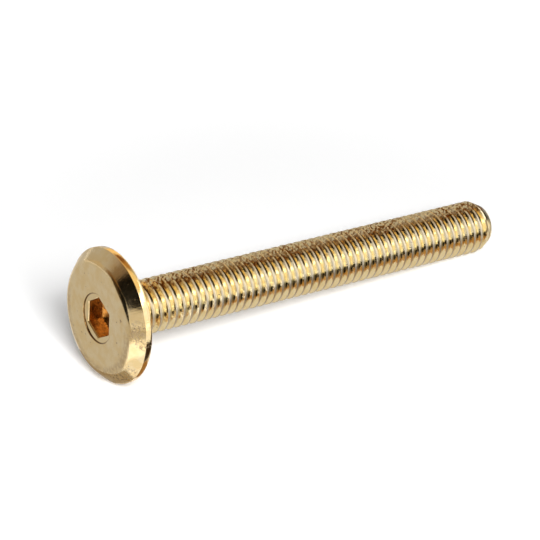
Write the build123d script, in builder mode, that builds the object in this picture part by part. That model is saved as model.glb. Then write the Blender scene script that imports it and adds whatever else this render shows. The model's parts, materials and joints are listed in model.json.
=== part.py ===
from build123d import *
import os
from math import asin, atan2, cos, degrees, hypot, radians, sin

# An M6 x 50 furniture connecting screw: a wide flat head with a broad bevel and a hex socket, and a
# shank threaded from a short neck to a chamfered end. It is one piece of metal, cold formed and
# then thread rolled. Lengths are in millimetres and angles in degrees.
#
# The thread is fine enough to be left to the visual model. Here the shank is the outline that the
# thread fills: its crests, the cone where it runs out at the neck and the chamfer at the end.
#
# The screw is drawn upright, on an axis of its own: the bearing face under the head is at height 0,
# the head is below it and the shank rises from it. The last block lays it down on its side, as it
# comes to rest: on the rim of its head and on the last full crest of its thread.

# ---------------------------------------------------------------- head
head_diameter = 15.0
head_thickness = 2.3
face_diameter = 12.4       # the flat of the head, out to the bevel
bevel_height = 1.4         # measured along the axis
face_edge_radius = 1.0     # the soft turn from the flat into the bevel
rim_radius = 0.4           # rolls the rim over into the bearing face

# ---------------------------------------------------------------- hex socket
socket_width = 4.0         # across the flats
socket_depth = 2.0         # from the head's face to the foot of the flats
socket_tip_depth = 0.5     # the shallow cone below the flats
socket_turn = -3.0         # one corner, from straight up when the screw lies on its side
mouth_diameter = 5.6       # the round recess that the socket opens from
mouth_depth = 0.15
mouth_rounding = 0.25      # where the punch drew the metal down at the top of the flats
mouth_land = 0.05          # the least that stays flat between that rounding and the recess's wall

# ---------------------------------------------------------------- shank
shank_length = 50.0        # from the bearing face to the end
thread_diameter = 6.0      # over the crests
thread_depth = 0.61        # crest to root
neck_length = 1.2          # plain, where the thread runs out under the head
neck_flare = 0.4           # wider than the step from neck to crest, so that a plate clears the thread
end_diameter = 4.5         # the flat end, inside its chamfer
chamfer_length = 1.4

# ---------------------------------------------------------------- worked out from the sizes above
head_radius = head_diameter / 2
thread_radius = thread_diameter / 2
neck_radius = thread_radius - thread_depth / 2     # the blank that the thread is rolled on
end_radius = end_diameter / 2
face_height = -head_thickness
chamfer_start = shank_length - chamfer_length
socket_foot = face_height + socket_depth
# The rounding is widest at the socket's corners, and it ends inside the recess there.
corner_room = mouth_diameter / 2 * cos(radians(30)) - socket_width / 2
flats_rounding = min(mouth_rounding, corner_room - mouth_land)
runout_end = neck_length + thread_radius - neck_radius

# Lying down, the floor touches the rounded rim and the last full crest. The lean is the slope from
# the centre of the rim's rounding to the crest, and a little more because the rounding has a radius.
rim_run = chamfer_start + rim_radius
rim_drop = head_radius - rim_radius - thread_radius
lean = atan2(rim_drop, rim_run) + asin(rim_radius / hypot(rim_run, rim_drop))

# The lying screw is centred between the foot of its face and the top of its flat end.
seat_height = thread_radius * cos(lean) + chamfer_start * sin(lean)
front_reach = head_thickness * cos(lean) + face_diameter / 2 * sin(lean)
back_reach = shank_length * cos(lean) + end_radius * sin(lean)
lying_plane = Plane(
    origin=((front_reach - back_reach) / 2, 0, seat_height),
    x_dir=(sin(lean), 0, cos(lean)),
    z_dir=(cos(lean), 0, -sin(lean)),
)

# ---------------------------------------------------------------- the screw, upright
with BuildPart() as upright:
    # Head, neck and shank are turned as one section.
    with BuildSketch(Plane.XZ) as section:
        with BuildLine():
            Polyline(
                (0, face_height),
                (face_diameter / 2, face_height),
                (head_radius, face_height + bevel_height),
                (head_radius, 0),
                (neck_radius + neck_flare, 0),
                (neck_radius, neck_flare),
                (neck_radius, neck_length),
                (thread_radius, runout_end),
                (thread_radius, chamfer_start),
                (end_radius, shank_length),
                (0, shank_length),
                close=True,
            )
        make_face()
        fillet(section.vertices().group_by(Axis.X)[-1].sort_by(Axis.Y)[-1], rim_radius)
        fillet(section.vertices().group_by(Axis.Y)[0].sort_by(Axis.X)[-1], face_edge_radius)
    revolve(axis=Axis.Z)

    # The socket's six flats.
    with BuildSketch(Plane.XY.offset(face_height)):
        RegularPolygon(socket_width / 2, 6, major_radius=False, rotation=socket_turn)
    extrude(amount=socket_depth, mode=Mode.SUBTRACT)

    # The round recess at the socket's mouth.
    with BuildSketch(Plane.XY.offset(face_height)):
        Circle(mouth_diameter / 2)
    extrude(amount=mouth_depth, mode=Mode.SUBTRACT)
    straight_edges = upright.edges().filter_by(GeomType.LINE).filter_by(Axis.Z, reverse=True)
    fillet(straight_edges.group_by(Axis.Z)[0], flats_rounding)

    # The shallow cone at the socket's foot.
    with BuildSketch(Plane.XZ):
        with BuildLine():
            Polyline(
                (0, socket_foot),
                (socket_width / 2, socket_foot),
                (0, socket_foot + socket_tip_depth),
                close=True,
            )
        make_face()
    revolve(axis=Axis.Z, mode=Mode.SUBTRACT)

# ---------------------------------------------------------------- the screw, lying on its side
with BuildPart(lying_plane) as screw:
    add(upright.part)

screw.part.label = "screw"
os.makedirs("parts", exist_ok=True)
export_step(screw.part, "parts/screw.step")
print(f"screw leans {degrees(lean):.2f} degrees")
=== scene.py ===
# %% [markdown]
# # An M6 connecting screw for furniture
#
# The screw is one piece of plated steel, 52 mm long: a wide flat head with a bevel and a hex
# socket, and a shank with a fine thread. It lies on its side on a white table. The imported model
# already holds its outline to size. This script adds what the outline leaves out, above all the
# thread, then the brass plating, the light and the camera.

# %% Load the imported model
import bpy, bmesh, json
from math import asin, atan2, cos, degrees, pi, radians, sin, tan
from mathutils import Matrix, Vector


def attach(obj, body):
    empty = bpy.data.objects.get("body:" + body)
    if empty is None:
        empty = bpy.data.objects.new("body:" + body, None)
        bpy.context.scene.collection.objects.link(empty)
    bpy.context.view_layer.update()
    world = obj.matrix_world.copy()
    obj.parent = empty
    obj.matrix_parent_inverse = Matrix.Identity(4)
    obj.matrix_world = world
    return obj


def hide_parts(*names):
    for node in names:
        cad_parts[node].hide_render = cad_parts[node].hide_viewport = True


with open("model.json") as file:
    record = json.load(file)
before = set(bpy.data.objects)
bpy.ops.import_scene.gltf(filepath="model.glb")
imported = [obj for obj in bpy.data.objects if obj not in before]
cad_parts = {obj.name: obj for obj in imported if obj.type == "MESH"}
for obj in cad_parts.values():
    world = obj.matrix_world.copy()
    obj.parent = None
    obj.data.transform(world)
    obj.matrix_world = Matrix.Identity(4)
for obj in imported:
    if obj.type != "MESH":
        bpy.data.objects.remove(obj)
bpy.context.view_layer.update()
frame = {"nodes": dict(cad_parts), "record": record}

mounts = {mount["name"]: mount for mount in frame["record"]["mounts"]}
screw_axis = Vector(mounts["thread"]["axis"])
face_centre = Vector(mounts["hex_socket"]["pos_m"])
lean = asin(-screw_axis.z)
print("nodes:", list(frame["nodes"]), "- the screw leans", round(degrees(lean), 2), "degrees")

# %% [markdown]
# ## The sizes
#
# The screw is modelled standing up, on the Z axis, with the bearing face of its head at height 0
# and the shank above it. One unit is a millimetre on this bench, because the tolerances inside
# Blender's tools suit sizes near one unit better than thousandths of one. At the end the whole
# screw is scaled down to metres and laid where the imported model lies.

# %% Sizes of the head, in millimetres
head_radius = 7.5
face_radius = 6.2          # the flat of the head, out to the bevel
face_height = -2.3
bevel_top = -0.9           # where the bevel meets the upright rim
face_edge_radius = 1.0     # the soft turn from the flat into the bevel
bevel_edge_radius = 0.12
rim_radius = 0.4           # rolls the rim over into the bearing face
mouth_radius = 2.8         # the round recess that the socket opens from
mouth_floor = -2.15
mouth_corner_radius = 0.05
mouth_rounding = 0.25      # at the top of the socket's flats
socket_width = 4.0         # across the flats
socket_foot = -0.3
socket_tip = 0.2           # of the shallow cone below the flats
socket_turn = radians(-3.0)
print("the head is", 2 * head_radius, "mm across and", -face_height, "mm thick")

# %% Sizes of the shank, in millimetres
shank_length = 50.0
crest_radius = mounts["thread"]["dims"]["r_mm"]
pitch = 1.0
thread_depth = 0.61
root_radius = crest_radius - thread_depth
neck_radius = crest_radius - thread_depth / 2
neck_length = 1.2
neck_flare = 0.4
end_radius = 2.25          # the flat end, inside its chamfer
chamfer_start = 48.6
print("crests at", crest_radius, "roots at", root_radius, "over", shank_length - neck_length, "mm")

# %% [markdown]
# ## Working by hand, in code
#
# Every shape below starts as a primitive and is changed in edit mode, as it would be with the
# mouse. An operator acts on whatever is selected, so each step first clears the selection. Four
# small helpers keep that tidy: one clears, one picks up a piece, one opens it for editing, and one
# selects vertices by a test on their place.

# %% Clear, open and select
same_place = 0.001         # millimetres between points that are meant to be one
doubles_gap = 0.0005       # the least that two separate points of a mesh lie apart

def put_everything_down():
    if bpy.context.object and bpy.context.object.mode != "OBJECT":
        bpy.ops.object.mode_set(mode="OBJECT")
    bpy.ops.object.select_all(action="DESELECT")

def pick_up(piece):
    put_everything_down()
    piece.select_set(True)
    bpy.context.view_layer.objects.active = piece

def open_piece(piece, mode="VERT"):
    pick_up(piece)
    bpy.ops.object.mode_set(mode="EDIT")
    bpy.ops.mesh.select_mode(type=mode)
    bpy.ops.mesh.select_all(action="DESELECT")

def select_vertices(piece, is_wanted):
    mesh = bmesh.from_edit_mesh(piece.data)
    for vertex in mesh.verts:
        vertex.select = is_wanted(vertex.co)
    mesh.select_flush_mode()
    bmesh.update_edit_mesh(piece.data)
    return sum(vertex.select for vertex in mesh.verts)

put_everything_down()
print("nothing is selected:", not bpy.context.selected_objects)

# %% [markdown]
# ## Drawing an outline
#
# Turned parts come from an outline. It can be typed in as mesh data, but by hand it is drawn: a
# plane is merged to a single vertex, and that vertex is extruded from corner to corner. Corners
# are rounded with a vertex bevel. Its offset is how far the curve reaches along each edge, so it
# is worked out from the radius that is wanted and from the angle of the corner.

# %% Outlines
def draw_outline(name, corners):
    put_everything_down()
    bpy.ops.mesh.primitive_plane_add(size=0.1, location=(corners[0][0], 0, corners[0][1]))
    outline = bpy.context.object
    outline.name = name
    bpy.ops.object.transform_apply(location=True, rotation=False, scale=False)
    bpy.ops.object.mode_set(mode="EDIT")
    bpy.ops.mesh.select_mode(type="VERT")
    bpy.ops.mesh.select_all(action="SELECT")
    bpy.ops.mesh.merge(type="CENTER")
    for here, there in zip(corners, corners[1:]):
        step = (there[0] - here[0], 0, there[1] - here[1])
        bpy.ops.mesh.extrude_vertices_move(TRANSFORM_OT_translate={"value": step})
    return outline

def round_corner(outline, before, corner, after, radius, segments):
    to_before = Vector(before) - Vector(corner)
    to_after = Vector(after) - Vector(corner)
    reach = radius / tan(to_before.angle(to_after) / 2)
    place = Vector((corner[0], 0, corner[1]))
    open_piece(outline)
    found = select_vertices(outline, lambda point: (point - place).length < same_place)
    bpy.ops.mesh.bevel(affect="VERTICES", offset=reach, segments=segments)
    print(outline.name, "corner", corner, "rounded to", radius, "- found", found)

# %% [markdown]
# ## Turning an outline
#
# Spin sweeps the outline round the Z axis, as a lathe would. Points on the axis come out once for
# every step, so doubles are merged, and the faces are then turned to point outwards.

# %% The lathe
def turn_on_lathe(outline, steps=120):
    open_piece(outline)
    bpy.ops.mesh.select_all(action="SELECT")
    bpy.ops.mesh.spin(steps=steps, angle=2 * pi, center=(0, 0, 0), axis=(0, 0, 1))
    bpy.ops.mesh.select_all(action="SELECT")
    bpy.ops.mesh.remove_doubles(threshold=doubles_gap)
    bpy.ops.mesh.normals_make_consistent(inside=False)
    bpy.ops.object.mode_set(mode="OBJECT")
    print(outline.name, "turned,", len(outline.data.polygons), "faces")

# %% [markdown]
# ## The head and its neck
#
# The head is cold formed: a broad flat, a soft turn into the bevel, a narrow upright rim and a
# larger rounding where the rim rolls under. The round recess that the socket opens from belongs
# to the same outline. The neck ends in a cone that goes in under the thread, so that each groove
# fades out against it and doesn't stop at a wall.

# %% Draw and turn the head
cone_foot = neck_length + 0.06
cone_top = neck_length + 0.66
under_roots = root_radius - 0.2
face_edge = (face_radius, face_height)
bevel_edge = (head_radius, bevel_top)
rim_edge = (head_radius, 0)
mouth_edge = (mouth_radius, face_height)
mouth_corner = (mouth_radius, mouth_floor)
flare_foot = (neck_radius + neck_flare, 0)
head = draw_outline("head", [
    (0, mouth_floor), mouth_corner, mouth_edge, face_edge, bevel_edge, rim_edge, flare_foot,
    (neck_radius, neck_flare), (neck_radius, cone_foot), (under_roots, cone_top), (0, cone_top),
])
round_corner(head, mouth_corner, mouth_edge, face_edge, mouth_corner_radius, 3)
round_corner(head, mouth_edge, face_edge, bevel_edge, face_edge_radius, 10)
round_corner(head, face_edge, bevel_edge, rim_edge, bevel_edge_radius, 4)
round_corner(head, bevel_edge, rim_edge, flare_foot, rim_radius, 8)
turn_on_lathe(head)

# %% [markdown]
# ## The thread
#
# The flanks of an M6 thread stand at 60 degrees to each other. This one is rolled, not cut: rollers
# press the grooves in and the metal flows up between them, so the crest stays broad, about a sixth
# of the pitch, and often keeps a fine seam where the two flows met. The root is rounded. One pitch
# of that profile is drawn, and the Screw modifier repeats it: each turn climbs by one pitch,
# counter-clockwise seen from the end, which makes it right-handed. A displaced cylinder could look
# threaded from afar, but its outline and its highlights wouldn't.

# %% Draw one pitch of the thread
crest_flat = pitch / 6
seam_width = 0.06
seam_depth = 0.025
root_rounding, crest_rounding = 0.08, 0.05
flank_run = thread_depth * tan(radians(30))
thread_turns = 53
turns_below_chamfer = 49
thread_phase = -0.27       # slides the thread along, to where its crests come round
thread_bottom = chamfer_start - crest_flat / 2 - pitch - turns_below_chamfer * pitch + thread_phase
root_half = (pitch - crest_flat) / 2 - flank_run
crest_start = thread_bottom + root_half + flank_run
crest_middle = crest_start + crest_flat / 2
profile = [
    (root_radius, thread_bottom),
    (root_radius, thread_bottom + root_half),
    (crest_radius, crest_start),
    (crest_radius, crest_middle - seam_width / 2),
    (crest_radius - seam_depth, crest_middle),
    (crest_radius, crest_middle + seam_width / 2),
    (crest_radius, crest_start + crest_flat),
    (root_radius, thread_bottom + pitch - root_half),
    (root_radius, thread_bottom + pitch),
]
thread = draw_outline("thread", profile)
roundings = ((1, root_rounding), (2, crest_rounding), (6, crest_rounding), (7, root_rounding))
for number, rounding in roundings:
    round_corner(thread, *profile[number - 1:number + 2], rounding, 3)
bpy.ops.object.mode_set(mode="OBJECT")
print("one pitch is drawn with", len(thread.data.vertices), "points")

# %% Wind it up
steps_a_turn = 72
pick_up(thread)
bpy.ops.object.modifier_add(type="SCREW")
winding = thread.modifiers[-1]
winding.axis = "Z"
winding.angle = 2 * pi
winding.screw_offset = pitch
winding.iterations = thread_turns
winding.steps = winding.render_steps = steps_a_turn
winding.use_merge_vertices = True
winding.merge_threshold = doubles_gap
bpy.ops.object.modifier_apply(modifier=winding.name)
open_piece(thread)
bpy.ops.mesh.select_all(action="SELECT")
bpy.ops.mesh.remove_doubles(threshold=doubles_gap)
print("the thread has", len(bmesh.from_edit_mesh(thread.data).faces), "faces")

# %% [markdown]
# The Boolean modifier needs closed shapes, and the wound thread is open at both ends. At each end
# its open edges are extruded and merged to one point, well outside the part that is kept.

# %% Close the ends of the thread
def close_end(piece, is_end, shift):
    open_piece(piece, "EDGE")
    bpy.ops.mesh.select_non_manifold(
        extend=False, use_wire=False, use_boundary=True, use_multi_face=False,
        use_non_contiguous=False, use_verts=False)
    mesh = bmesh.from_edit_mesh(piece.data)
    for edge in mesh.edges:
        edge.select = edge.select and all(is_end(vertex.co.z) for vertex in edge.verts)
    bmesh.update_edit_mesh(piece.data)
    bpy.ops.mesh.extrude_edges_move(TRANSFORM_OT_translate={"value": (0, 0, shift)})
    bpy.ops.mesh.select_mode(type="VERT")
    bpy.ops.mesh.merge(type="CENTER")
    mesh = bmesh.from_edit_mesh(piece.data)
    tip = next(vertex for vertex in mesh.verts if vertex.select)
    print("closed to a point at", [round(value, 3) for value in tip.co])

half_way = thread_bottom + thread_turns * pitch / 2
close_end(thread, lambda height: height < half_way, -pitch)
close_end(thread, lambda height: height > half_way, pitch)
bpy.ops.mesh.select_all(action="SELECT")
bpy.ops.mesh.normals_make_consistent(inside=False)
bpy.ops.object.mode_set(mode="OBJECT")

# %% [markdown]
# ## Trimming the thread
#
# The real thread is rolled on a blank that is already pointed, so the crests rise along a cone at
# the neck and fall away again at the end's chamfer. A turned trimming shape with those two cones
# keeps what it shares with the endless thread. It stays wider than the crests in between, so that
# no face of one lies on a face of the other.

# %% Trim it between its two cones
def combine(piece, other, operation):
    pick_up(piece)
    bpy.ops.object.modifier_add(type="BOOLEAN")
    joint = piece.modifiers[-1]
    joint.operation = operation
    joint.solver = "EXACT"
    joint.object = other
    bpy.ops.object.modifier_apply(modifier=joint.name)
    pick_up(other)
    bpy.ops.object.delete()
    print(piece.name, operation.lower(), "done,", len(piece.data.polygons), "faces")

into_head = 0.6            # how far the cone at the neck is carried on, inwards and down
beyond = crest_radius + 0.4
chamfer_slope = (shank_length - chamfer_start) / (crest_radius - end_radius)
trimmer = draw_outline("trimmer", [
    (0, neck_length - into_head),
    (neck_radius - into_head, neck_length - into_head),
    (beyond, neck_length + beyond - neck_radius),
    (beyond, chamfer_start - (beyond - crest_radius) * chamfer_slope),
    (end_radius, shank_length),
    (0, shank_length),
])
turn_on_lathe(trimmer, steps=144)
combine(thread, trimmer, "INTERSECT")

# %% [markdown]
# ## One piece of metal
#
# Head and thread were made apart only because their outlines are turned in different ways. On the
# real screw they are one blank, so a union makes them one skin, with nothing hidden inside it.

# %% Join thread and head
screw = head
combine(screw, thread, "UNION")
screw.name = "plated_screw"

# %% [markdown]
# ## The hex socket
#
# The key's socket is punched: six flats, and a shallow cone at the foot that the punch leaves. A
# six-sided cylinder is exactly the punch. Its width across the flats is what is stated, so the
# radius to its corners is that half width over the cosine of 30 degrees. The punch also draws the
# metal down with it, which rounds the top of the flats. A bevel on the finished socket would have
# to find those edges among the rest. It is simpler to give the punch a flared shoulder: its outer
# end is extruded in short steps and scaled out along a quarter circle.

# %% Start the punch as a six-sided cylinder
put_everything_down()
corner_ratio = 1 / cos(pi / 6)
shoulder_foot = mouth_floor + mouth_rounding
bpy.ops.mesh.primitive_cylinder_add(
    vertices=6, radius=socket_width / 2 * corner_ratio, depth=socket_foot - shoulder_foot,
    location=(0, 0, (socket_foot + shoulder_foot) / 2))
punch = bpy.context.object
punch.name = "punch"
corner = max(punch.data.vertices, key=lambda vertex: vertex.co.x).co
corner_angle = atan2(corner.y, corner.x)
punch.rotation_euler = (0, 0, socket_turn - corner_angle)
bpy.ops.object.transform_apply(location=True, rotation=True, scale=False)
print("the punch has", len(punch.data.vertices) // 2, "corners,", socket_width, "mm across flats")

# %% Flare its shoulder
open_piece(punch)
shoulder_steps = 5
clear_of_face = 0.5
same_height = 0.0001
half_width, height = socket_width / 2, shoulder_foot
for step in range(1, shoulder_steps + 2):
    if step <= shoulder_steps:
        turn_so_far = pi / 2 * step / shoulder_steps
        next_width = socket_width / 2 + mouth_rounding * (1 - cos(turn_so_far))
        next_height = shoulder_foot - mouth_rounding * sin(turn_so_far)
    else:
        next_width, next_height = half_width, face_height - clear_of_face
    select_vertices(punch, lambda point: abs(point.z - height) < same_height)
    rise = (0, 0, next_height - height)
    bpy.ops.mesh.extrude_region_move(TRANSFORM_OT_translate={"value": rise})
    grow = next_width / half_width
    bpy.ops.transform.resize(value=(grow, grow, 1), center_override=(0, 0, next_height))
    half_width, height = next_width, next_height
bpy.ops.object.mode_set(mode="OBJECT")
print("the shoulder flares to", round(2 * half_width, 2), "mm across its flats")

# %% Punch the socket
combine(screw, punch, "DIFFERENCE")

# %% [markdown]
# The cone at the foot is a second cut. Its base lies a hundredth of a millimetre out in the open
# socket and ends just short of the flats, so that no face of it lies on one that is already there.

# %% Cone at the socket's foot
put_everything_down()
inside_flats = 0.02
over_foot = 0.01
cone_height = socket_tip - socket_foot
bpy.ops.mesh.primitive_cone_add(
    vertices=96, radius1=socket_width / 2 - inside_flats, radius2=0, depth=cone_height + over_foot,
    location=(0, 0, socket_foot + (cone_height - over_foot) / 2))
drill = bpy.context.object
drill.name = "drill"
combine(screw, drill, "DIFFERENCE")

# %% [markdown]
# ## Finishing the mesh
#
# The booleans leave a few doubled points where cuts meet, so they are merged, and the count of
# open edges shows whether the skin is still closed. Then the piece is scaled to metres and laid
# down. Its own axis points up, so it is turned half round that axis, tipped over by a right angle
# and the lean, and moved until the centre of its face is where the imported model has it. Applying
# the transform puts all of this into the mesh. Edges sharper than the limit stay crisp in shading.

# %% Clean the mesh and count open edges
open_piece(screw)
bpy.ops.mesh.select_all(action="SELECT")
bpy.ops.mesh.remove_doubles(threshold=doubles_gap)
bpy.ops.mesh.select_all(action="DESELECT")
bpy.ops.mesh.select_non_manifold()
open_edges = sum(edge.select for edge in bmesh.from_edit_mesh(screw.data).edges)
bpy.ops.object.mode_set(mode="OBJECT")
print(len(screw.data.polygons), "faces,", open_edges, "edges that are open or doubled")

# %% Lay it down at its real size
to_metres = 0.001
crisp_edge = radians(28)
tipping = pi / 2 + lean
screw.scale = (to_metres, to_metres, to_metres)
screw.rotation_euler = (0, -tipping, pi)
screw.location = face_centre - screw_axis * (face_height * to_metres)
pick_up(screw)
bpy.ops.object.transform_apply(location=True, rotation=True, scale=True)
bpy.ops.object.shade_smooth_by_angle(angle=crisp_edge)
lowest = min(vertex.co.z for vertex in screw.data.vertices)
print("lowest point", round(lowest / to_metres, 4), "mm above the table")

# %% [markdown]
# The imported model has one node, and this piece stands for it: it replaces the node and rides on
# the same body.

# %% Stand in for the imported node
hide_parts("screw")
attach(screw, "root")
print("the dressed screw has", len(screw.data.vertices), "points")

# %% [markdown]
# ## Writing materials as sums
#
# A procedural material is arithmetic on sockets. This small class wraps a socket, so that
# `1 - mask * 0.5` adds the Math nodes that it needs. `add` makes any other node: its settings
# come first, because some of them decide which sockets the node has. A socket is named by its
# label, or by its number where a node repeats a label, as Math and Mix do.

# %% A socket that can be added and multiplied
class Wire:
    def __init__(self, tree, socket=None):
        self.tree = tree
        self.socket = socket

    def add(self, kind, settings=None, sockets=None, output=0):
        node = self.tree.nodes.new(kind)
        for setting, value in (settings or {}).items():
            setattr(node, setting, value)
        for name, value in (sockets or {}).items():
            if isinstance(value, Wire):
                self.tree.links.new(value.socket, node.inputs[name])
            else:
                node.inputs[name].default_value = value
        return Wire(self.tree, node.outputs[output])

    def maths(self, operation, first, second=0.0):
        return self.add("ShaderNodeMath", {"operation": operation}, {0: first, 1: second})

    def __add__(self, other): return self.maths("ADD", self, other)
    def __radd__(self, other): return self.maths("ADD", other, self)
    def __sub__(self, other): return self.maths("SUBTRACT", self, other)
    def __rsub__(self, other): return self.maths("SUBTRACT", other, self)
    def __mul__(self, other): return self.maths("MULTIPLY", self, other)
    def __rmul__(self, other): return self.maths("MULTIPLY", other, self)

    def vector(self, operation, first, second=(0, 0, 0), output="Vector"):
        settings = {"operation": operation}
        return self.add("ShaderNodeVectorMath", settings, {0: first, 1: second}, output)

    def stretch(self, vector, factor):
        settings = {"operation": "SCALE"}
        return self.add("ShaderNodeVectorMath", settings, {0: vector, "Scale": factor})

    def between(self, low, high):
        """0 at low, 1 at high, and a smooth change from one to the other"""
        settings = {"data_type": "FLOAT", "interpolation_type": "SMOOTHSTEP"}
        sockets = {"Value": self, "From Min": low, "From Max": high}
        return self.add("ShaderNodeMapRange", settings, sockets)

    def noise(self, place, scale, detail):
        sockets = {"Vector": place, "Scale": scale, "Detail": detail}
        return self.add("ShaderNodeTexNoise", {}, sockets)

    def blend(self, mask, below, above):
        """the colour below where mask is 0, and the colour above where it is 1"""
        sockets = {0: mask, 6: below, 7: above}
        return self.add("ShaderNodeMix", {"data_type": "RGBA"}, sockets, 2)

    def ray(self, label):
        """1 for rays of this kind and 0 for all others"""
        return self.add("ShaderNodeLightPath", output=label)

    def feed(self, shader, name):
        self.tree.links.new(self.socket, shader.inputs[name])

def new_material(name):
    material = bpy.data.materials.new(name)
    material.use_nodes = True
    shader = material.node_tree.nodes["Principled BSDF"]
    print("material", name)
    return material, shader, Wire(material.node_tree)

# %% [markdown]
# ## Where a point is on the screw
#
# The plating is worn and stained, and has shade painted into it, in places that belong to the
# screw: crests, roots, the bevel, the side that lies up. So its patterns are laid out in the
# screw's own terms. Object coordinates minus the centre of the face, along the screw's axis, say
# how far back a point is. What is left over points away from the axis: its length is the radius,
# and its direction is the side.

# %% Along, out and around
to_millimetres = 1000.0

def place_on_screw(wire):
    own_place = wire.add("ShaderNodeTexCoord", output="Object")
    from_face = wire.vector("SUBTRACT", own_place, tuple(face_centre))
    place = wire.stretch(from_face, to_millimetres)
    along = wire.vector("DOT_PRODUCT", place, tuple(screw_axis), "Value")
    on_axis = wire.stretch(tuple(screw_axis), along)
    outwards = wire.vector("SUBTRACT", place, on_axis)
    radius = wire.vector("LENGTH", outwards, output="Value")
    side = wire.vector("NORMALIZE", outwards)
    return place, along, radius, side

head_length = -face_height
up_side = Vector((sin(lean), 0, cos(lean)))
print("the head ends", head_length, "mm behind its face")
print("up is", [round(value, 3) for value in up_side])

# %% [markdown]
# ## Brass plating
#
# The screw is bright brass over steel. On a metal the base colour is the colour of its
# reflections. The plating is a little deeper and paler in patches, rubbed pale and dull along the
# crests where the rollers worked, and brown where it has begun to tarnish and in small spots. Shade
# is painted into it as well: near black in the roots, a darker band along the lower part of the
# face's edge, a deeper brass with dark blotches in the socket and a dark line round the foot of the
# recess. Each of these is a mask from 0 to 1, and the finish is built up in layers, one blend at a
# time.

# %% Start the plating
plating, shader, wire = new_material("brass_plating")
shader.inputs["Metallic"].default_value = 1.0
place, along, radius, side = place_on_screw(wire)
facing_up = wire.vector("DOT_PRODUCT", side, tuple(up_side), "Value")
on_shank = along.between(head_length + 0.1, head_length + 0.5)
on_head = 1 - on_shank
on_bevel = on_head * radius.between(face_radius - 0.25, face_radius + 0.35)
print("the bevel starts", face_radius, "mm from the axis")

# %% Patches in the brass
deep_brass = (0.79, 0.585, 0.29, 1)
pale_brass = (0.82, 0.645, 0.37, 1)
thread_deep = (0.84, 0.70, 0.41, 1)
thread_pale = (0.88, 0.77, 0.51, 1)
patch_scale = 0.9
patches = wire.noise(place, patch_scale, 4.0).between(0.35, 0.65)
head_brass = wire.blend(patches, deep_brass, pale_brass)
thread_brass = wire.blend(patches, thread_deep, thread_pale)
colour = wire.blend(on_shank, head_brass, thread_brass)
print("patches of about", round(1 / patch_scale, 1), "mm")

# %% [markdown]
# The crests stand proud, so everything that the screw meets rubs them. A mask on the radius finds
# them, and noise frays its edge. The side that lies up has tarnished over again, so there the
# rubbing hardly shows.

# %% Rubbed crests
fray = wire.noise(place, 5.0, 3.0) - 0.5
rub_starts, rub_full = crest_radius - 0.11, crest_radius - 0.03
rubbed = on_shank * (radius + fray * 0.14).between(rub_starts, rub_full)
rubbed_brass = (0.62, 0.56, 0.45, 1)
on_top = facing_up.between(0.84, 0.95)
colour = wire.blend(rubbed * (0.85 - on_top * 0.75), colour, rubbed_brass)
print("rubbed above", round(rub_starts, 2), "mm from the axis")

# %% [markdown]
# The roots are darkened near black: painted shade, strongest on the upper side. It stays a thin
# line: a flank that is darkened would lose its reflection, and the two flanks of a groove show each
# other. The flat end of the shank is as near the axis as the roots are, so the mask leaves out all
# that lies inside it.

# %% Painted shade in the roots
in_thread = on_shank * radius.between(end_radius, end_radius + 0.10)
root_shade_ends, root_shade_full = root_radius + 0.21, root_radius + 0.08
in_root = in_thread * (radius + fray * 0.1).between(root_shade_ends, root_shade_full)
upper_side = facing_up.between(0.40, 0.70)
# painted shade: the roots turn near black, most of all on the upper side
root_shade = (0.02, 0.013, 0.006, 1)
colour = wire.blend(in_root * (0.12 + upper_side * 0.85), colour, root_shade)
print("dirty below", round(root_shade_ends, 2), "mm from the axis")

# %% [markdown]
# Damp air settles on the side that lies up, and brass answers with brown tarnish in fine speckles.
# One noise makes the speckles, and a much coarser one makes whole stretches of the thread fresher
# or older. A few small spots are scattered over the whole screw.

# %% Tarnish and spots
speckle_scale = 3.2
speckle = wire.noise(place, speckle_scale, 4.0).between(0.49, 0.55)
stretches = wire.noise(place, 0.15, 1.0).between(0.42, 0.58)
tarnished = in_thread * on_top * (0.05 + speckle * (0.45 + stretches * 0.5))
tarnish_brown = (0.27, 0.11, 0.018, 1)
colour = wire.blend(tarnished, colour, tarnish_brown)
spots = wire.noise(place, 2.6, 2.0).between(0.70, 0.76)
spot_brown = (0.16, 0.09, 0.04, 1)
colour = wire.blend(spots * 0.8, colour, spot_brown)
print("tarnish speckles of about", round(1 / speckle_scale, 2), "mm")

# %% [markdown]
# The bevel is brushed outwards: short fine strokes from the face to the rim. Noise that is read at
# the side's direction alone stays the same from the axis outwards, which is what such strokes are.
# A little of the radius is added, so that no stroke runs the whole way.

# %% Brushed strokes
stroke_count = 60.0
stroke_place = wire.stretch(side, stroke_count)
outward_shift = wire.add("ShaderNodeCombineXYZ", {}, {"X": radius * 1.3})
strokes = wire.noise(wire.vector("ADD", stroke_place, outward_shift), 1.0, 3.0)
print("strokes", round(face_radius / stroke_count, 2), "mm apart at the face's edge")

# %% [markdown]
# Screws are shipped loose in a bag, and their heads knock together. The plating is scuffed brown
# in patches round the bevel, most of all low down. A mottled darker band along the lower part of
# the face's soft edge is painted shade.

# %% Scuffs, and painted shade along the face's edge
low_down = facing_up.between(-0.45, -0.70)
knocked = wire.noise(place, 0.55, 2.0).between(0.54, 0.64) * facing_up.between(0.45, 0.25)
scuff_grain = wire.noise(place, 3.6, 4.0).between(0.45, 0.62)
scuffed = on_bevel * (knocked + low_down) * scuff_grain
scuff_brown = (0.40, 0.27, 0.15, 1)
colour = wire.blend(scuffed * 0.75, colour, scuff_brown)

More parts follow.
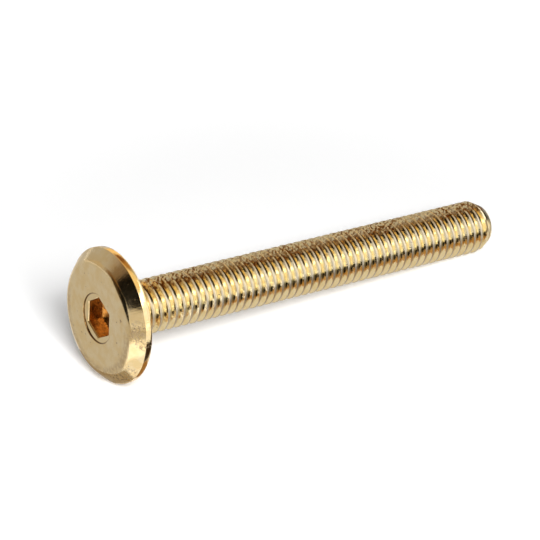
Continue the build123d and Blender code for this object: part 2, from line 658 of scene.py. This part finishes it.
# painted shade: a mottled darker band along the lower part of the face's edge
inner_side = radius.between(face_radius - 1.1, face_radius - 0.5)
outer_side = radius.between(face_radius + 0.2, face_radius - 0.2)
edge_mottle = 0.3 + wire.noise(place, 2.2, 4.0).between(0.40, 0.62) * 0.7
face_edge_shade = on_head * inner_side * outer_side * facing_up.between(0.35, -0.05) * edge_mottle
edge_shade_brown = (0.46, 0.32, 0.17, 1)
colour = wire.blend(face_edge_shade * 0.55, colour, edge_shade_brown)
print("dulled from", round(face_radius - 1.1, 2), "to", round(face_radius + 0.2, 2), "mm")

# %% [markdown]
# Inside the socket the brass is deeper and browner, with dark blotches: painted shade in the
# recess. A dark line round the foot of the recess is painted shade in its corner.

# %% Painted shade inside the socket and round the recess
socket_top = mouth_floor - face_height + mouth_rounding
in_socket = on_head * along.between(socket_top, socket_top + 0.3) * radius.between(2.7, 2.5)
# painted shade: deeper brass with dark blotches inside the socket
socket_shade_brass = (0.80, 0.52, 0.24, 1)
socket_shade_blotch = (0.16, 0.08, 0.03, 1)
shade_blotches = wire.noise(place, 1.7, 3.0).between(0.52, 0.60)
colour = wire.blend(in_socket, colour, wire.blend(shade_blotches * 0.5, socket_shade_brass, socket_shade_blotch))
# painted shade: a dark line in the corner round the foot of the recess
recess_corner = radius.between(2.62, 2.76) * radius.between(2.95, 2.85)
recess_foot = along.between(0.02, 0.10) * recess_corner
recess_corner_shade = (0.22, 0.14, 0.07, 1)
colour = wire.blend(on_head * recess_foot * 0.85, colour, recess_corner_shade)
colour.feed(shader, "Base Color")
print("the socket is stained from", round(socket_top, 2), "mm below the face")

# %% [markdown]
# Bright plating is nearly a mirror. Roughness starts low, and each kind of wear adds its own part:
# rubbed crests are the dullest, and spots and scuffs come next. The roots, where shade is painted,
# are a little rougher too.

# %% Gloss
mirror_gloss = 0.09
gloss = mirror_gloss + patches * 0.04 + rubbed * 0.32 + in_root * 0.2 + scuffed * 0.2 + spots * 0.3
gloss = gloss + on_head * strokes * 0.08
gloss.feed(shader, "Roughness")
print("roughness from", mirror_gloss, "up")

# %% [markdown]
# Under the gloss the metal isn't smooth: the thread has a fine orange peel from rolling, and the
# head has its strokes. Both go through Bump nodes, each with its own height in metres. The second
# takes the first one's normal, so that both show.

# %% Bumps
peel_height, stroke_height = 0.000020, 0.000006
grain = wire.noise(place, 3.2, 2.0)
peel = grain * (0.35 + on_shank * (0.65 + on_top * 1.4))
peel_bump = wire.add("ShaderNodeBump", {}, {
    "Strength": 1.0, "Distance": peel_height, "Height": peel})
stroke_bump = wire.add("ShaderNodeBump", {}, {
    "Strength": 1.0, "Distance": stroke_height, "Height": strokes * on_head, "Normal": peel_bump})
stroke_bump.feed(shader, "Normal")
screw.data.materials.clear()
screw.data.materials.append(plating)
print("the plating has", len(plating.node_tree.nodes), "nodes")

# %% [markdown]
# ## The table
#
# Polished metal has almost no look of its own: it shows the room. So the room is built with care,
# and the table comes first. It has to be white, and it still has to show the screw's shadow. Its
# paper is a pale grey that the lamps light, and a low glow is added for the rays that look at it,
# straight or in the metal. The glow grows with distance, so that the far table is plain white.

# %% A white table
put_everything_down()
bpy.ops.mesh.primitive_plane_add(size=6, location=(0, 0, 0))
table = bpy.context.object
table.name = "table"
paper, shader, wire = new_material("white_table")
shader.inputs["Base Color"].default_value = (0.8, 0.8, 0.8, 1)
shader.inputs["Roughness"].default_value = 0.9
shader.inputs["Specular IOR Level"].default_value = 0.0
near_glow, far_glow = (0.22, 0.22, 0.22, 1), (1, 1, 1, 1)
glow_starts, glow_full = 0.03, 0.13
table_place = wire.add("ShaderNodeTexCoord", output="Object")
far_away = wire.vector("LENGTH", table_place, output="Value").between(glow_starts, glow_full)
wire.blend(far_away, near_glow, far_glow).feed(shader, "Emission Color")
seen_straight, seen_in_metal = wire.ray("Is Camera Ray"), wire.ray("Is Glossy Ray")
seen_through_glass = wire.ray("Is Transmission Ray")
(seen_straight + seen_in_metal + seen_through_glass).feed(shader, "Emission Strength")
table.data.materials.append(paper)
print("the table glows with", near_glow[0], "near the screw and", far_glow[0], "far away")

# %% [markdown]
# ## The lamps
#
# In a studio a row of softboxes stands in front of a shiny piece: a bright strip over a broad, dim
# one gives each curve a highlight with a soft edge. Here each softbox is an area lamp that faces
# the screw and fills a range of azimuths and of heights. A real one would also light the table,
# but most of these are kept off it, because the shadow belongs to a single key lamp. The key lamp
# in turn isn't seen in the metal. An area lamp's power is its radiance times pi times its area.

# %% How a lamp is hung
def towards(azimuth, height_angle):
    """a direction: azimuth is from +Y towards +X, height_angle is above the table"""
    a, h = radians(azimuth), radians(height_angle)
    return Vector((sin(a) * cos(h), cos(a) * cos(h), sin(h)))

def middle_and_size(azimuths, heights, distance):
    """the middle direction of a patch of the room, and how wide and high it is"""
    direction = towards(sum(azimuths) / 2, sum(heights) / 2)
    width = 2 * distance * tan(radians(azimuths[1] - azimuths[0]) / 2) * direction.xy.length
    height = 2 * distance * tan(radians(heights[1] - heights[0]) / 2)
    return direction, width, height

def hang_lamp(name, azimuths, heights, distance, radiance):
    direction, width, height = middle_and_size(azimuths, heights, distance)
    put_everything_down()
    bpy.ops.object.light_add(type="AREA", location=direction * distance)
    lamp = bpy.context.object
    lamp.name = name
    lamp.rotation_euler = direction.to_track_quat("Z", "Y").to_euler()
    lamp.data.shape = "RECTANGLE"
    lamp.data.size = width
    lamp.data.size_y = height
    lamp.data.energy = radiance * pi * lamp.data.size * lamp.data.size_y
    print(name, "at", [round(value, 2) for value in lamp.location], round(lamp.data.energy, 2), "W")
    return lamp

ahead = towards(0, 0)
print("azimuth 0 looks along", [round(value, 2) for value in ahead])

# %% Hang the lamps
lamps = [
    # name, azimuths, heights, distance in metres, radiance, lights the table, seen in the metal
    ("front_right", (95, 140), (-12, 62), 0.60, 0.90, False, True),
    ("front_middle", (140, 185), (-12, 62), 0.60, 0.90, False, True),
    ("front_left", (185, 228), (-12, 60), 0.60, 0.95, True, True),
    ("bright_right", (100, 144), (32, 45), 0.55, 2.6, False, True),
    ("bright_middle", (144, 186), (32, 45), 0.55, 2.6, False, True),
    ("bright_left", (186, 226), (32, 45), 0.55, 2.4, False, True),
    ("low_left", (228, 278), (-14, 25), 0.60, 0.25, True, True),
    ("low_right", (38, 95), (-12, 14), 0.60, 1.0, True, True),
    ("key_lamp", (190, 216), (28, 46), 0.50, 40.5, True, False),
]
for *place_and_power, lights_table, shows_in_metal in lamps:
    lamp = hang_lamp(*place_and_power)
    lamp.visible_diffuse = lights_table
    lamp.visible_glossy = shows_in_metal

# %% [markdown]
# ## The cards
#
# In a studio, cards are set up where a highlight needs an edge: white ones to lift a side, dark
# ones to cut a line. Here the cards glow with one even tone and are seen by reflections alone, so
# they neither dim the table nor cast shadows, and the table stays neutral.
#
# The tones follow from the thread. Its flanks stand at 60 degrees, so a groove works as a pair of
# mirrors: what it shows has been turned twice, in the direction in which a plain cylinder would
# show it, and coloured twice by the brass. That is why grooves look deeper gold than crests.

# %% How a card is made
black = (0.004, 0.003, 0.002)

def finish_card(card, name, tone):
    card.name = name
    coat, shader, wire = new_material(name)
    shader.inputs["Base Color"].default_value = (0, 0, 0, 1)
    shader.inputs["Specular IOR Level"].default_value = 0.0
    shader.inputs["Emission Color"].default_value = (*tone, 1)
    shader.inputs["Emission Strength"].default_value = 1.0
    card.data.materials.append(coat)
    card.visible_camera = False
    card.visible_diffuse = False
    card.visible_shadow = False

def stand_card(name, azimuths, heights, distance, tone, around=(0, 0, 0)):
    """a card that faces the point around, from so many metres away"""
    direction, width, height = middle_and_size(azimuths, heights, distance)
    put_everything_down()
    bpy.ops.mesh.primitive_plane_add(size=1, location=Vector(around) + direction * distance)
    card = bpy.context.object
    card.rotation_euler = direction.to_track_quat("Z", "Y").to_euler()
    card.scale = (width, height, 1)
    finish_card(card, name, tone)

def lay_card(name, across, inwards, tone, level=0.3):
    """across and inwards are the card's reach in X and Y, level its height, in millimetres"""
    middle = Vector((sum(across) / 2, sum(inwards) / 2, level)) * to_metres
    put_everything_down()
    bpy.ops.mesh.primitive_plane_add(size=1, location=middle)
    card = bpy.context.object
    width, depth = across[1] - across[0], inwards[1] - inwards[0]
    card.scale = (width * to_metres, depth * to_metres, 1)
    finish_card(card, name, tone)

print("the black of the cards is", black)

# %% [markdown]
# The standing cards are the dark room to the left, which leaves the black patch on the bevel, and
# the brown and golden boards above and behind, which colour the thread's upper side. Three small
# ones stand close to the head. There they fill much of what the bevel and the rim see, and next to
# nothing of what the thread sees.

# %% Stand the cards
beside_head = (-0.026, -0.0035, 0.0115)
above_neck = (-0.0249, -0.0015, 0.0150)
standing_cards = [
    # name, azimuths, heights, distance in metres, tone, and what it faces if not the middle
    ("black_card", (-140, -74), (28, 60), 0.40, black),
    ("black_low_card", (-142, -106), (22, 28), 0.41, black),
    ("dark_card", (-76, -54), (34, 60), 0.42, (0.26, 0.19, 0.13)),
    ("brown_board_left", (-84, -50), (10, 38), 0.45, (0.24, 0.13, 0.05)),
    ("white_board_left", (-100, -83), (4, 19), 0.42, (1.4, 1.2, 0.85)),
    ("tan_board", (-48, -24), (4, 27), 0.47, (0.60, 0.52, 0.40)),
    ("brown_board_right", (50, 73), (38, 58), 0.40, (0.50, 0.23, 0.04)),
    ("tan_board_right", (8, 52), (10, 78), 0.42, (1.16, 0.83, 0.40)),
    ("gold_board", (73, 162), (46, 88), 0.38, (1.12, 0.90, 0.50)),
    ("near_card", (-108, -67), (-12, 30), 0.014, black, beside_head),
    ("near_dark", (-67, -50), (-12, 30), 0.014, (0.07, 0.045, 0.02), beside_head),
    ("near_brown", (34, 58), (28, 50), 0.020, (0.25, 0.09, 0.025), above_neck),
]
for card in standing_cards:
    stand_card(*card)
print(len(standing_cards), "cards stand")

# %% [markdown]
# The lying cards are what the lower side of the screw sees of the table. A black strip in front of
# the shank, with an orange edge, draws the dark line along the thread. Sheets of white and tan on
# either side of it set how bright the belly, the face and the rim come out. They lie edge to edge:
# where two would overlap, the one that should be seen lies a little higher.

# %% Lay the cards
lying_cards = [
    # name, reach in X, reach in Y, tone, and how high it lies if not at the usual level
    ("dark_strip", (-16.5, 26), (-20, -6), (0.012, 0.008, 0.005)),
    ("dark_patch", (-23, -16.5), (-21, -9.5), (0.05, 0.03, 0.02), 0.4),
    ("orange_patch", (-24, -20.6), (-9.4, -5), (0.40, 0.22, 0.08)),
    ("orange_strip", (-20.5, 26), (-5.9, -3.7), (0.50, 0.27, 0.08)),
    ("white_strip", (-43, 80), (-90, -20.1), (1.3, 1.3, 1.3)),
    ("white_card", (-43, -30), (-17, -6), (1.6, 1.6, 1.6)),
    ("pale_card", (-30, -27), (-17, -5.4), (1.1, 1.1, 1.1)),
    ("white_sheet", (-25, 32), (-3.6, 40), (0.78, 0.71, 0.60)),
    ("tan_sheet", (32.1, 140), (-4.5, 300), (0.42, 0.36, 0.28)),
    ("shade_card", (-27.6, -25.1), (-5.3, 6), (0.42, 0.35, 0.25)),
    ("grey_sheet", (-320, -27.7), (-4.5, 300), (0.63, 0.62, 0.61)),
    ("grey_back", (-27.6, 32), (40.1, 300), (0.60, 0.57, 0.52)),
    ("grey_wing", (-320, -43.1), (-300, -4.6), (0.58, 0.55, 0.50)),
]
for card in lying_cards:
    lay_card(*card)
print(len(lying_cards), "cards lie on the table")

# %% [markdown]
# ## The room
#
# The rest of the room is the world. The table is lit by a dim, even grey and a straight look past
# the table's edge finds plain white, but the metal sees a room with pale walls that turn brown
# towards the ceiling. Light Path tells the three apart.

# %% Walls and ceiling
world = bpy.data.worlds.new("studio")
bpy.context.scene.world = world
world.use_nodes = True
wire = Wire(world.node_tree)
background = world.node_tree.nodes["Background"]
wall_grey = (0.54, 0.52, 0.49, 1)
ceiling_brown = (0.30, 0.18, 0.085, 1)
dim_grey, plain_white = (0.1, 0.1, 0.1, 1), (1, 1, 1, 1)
ray_direction = wire.add("ShaderNodeTexCoord", output="Generated")
height_seen = wire.add("ShaderNodeSeparateXYZ", {}, {"Vector": ray_direction}, "Z")
room = wire.blend(height_seen.between(0.55, 0.95), wall_grey, ceiling_brown)
behind_table = wire.blend(wire.ray("Is Camera Ray"), dim_grey, plain_white)
wire.blend(wire.ray("Is Glossy Ray"), behind_table, room).feed(background, "Color")
print("walls", wall_grey[:3], "ceiling", ceiling_brown[:3])

# %% [markdown]
# ## The camera
#
# A long lens from a third of a metre away, turned to the screw's near side and looking down on it
# by nearly 30 degrees. A long lens keeps the far end of the shank almost as thick as the near one.
# The camera's place is counted in millimetres from the centre of the screw's face: how far right
# of the middle of the view the face lies, how far below it, and how far away.

# %% Camera
turn, drop = radians(34.98), radians(29.32)
face_right, face_below, face_away = -18.44, 5.16, 324.73
right = Vector((cos(turn), -sin(turn), 0))
forward = Vector((sin(turn) * cos(drop), cos(turn) * cos(drop), -sin(drop)))
upward = right.cross(forward)
to_face = right * face_right - upward * face_below + forward * face_away
put_everything_down()
bpy.ops.object.camera_add(
    location=face_centre - to_face * to_metres, rotation=(pi / 2 - drop, 0, -turn))
camera = bpy.context.object
camera.data.lens = 203.27
camera.data.sensor_width = 36
camera.data.clip_start = 0.01
camera.data.dof.use_dof = False
bpy.context.scene.camera = camera
bpy.context.scene.view_settings.view_transform = "Standard"
print("camera at", [round(value, 4) for value in camera.location])
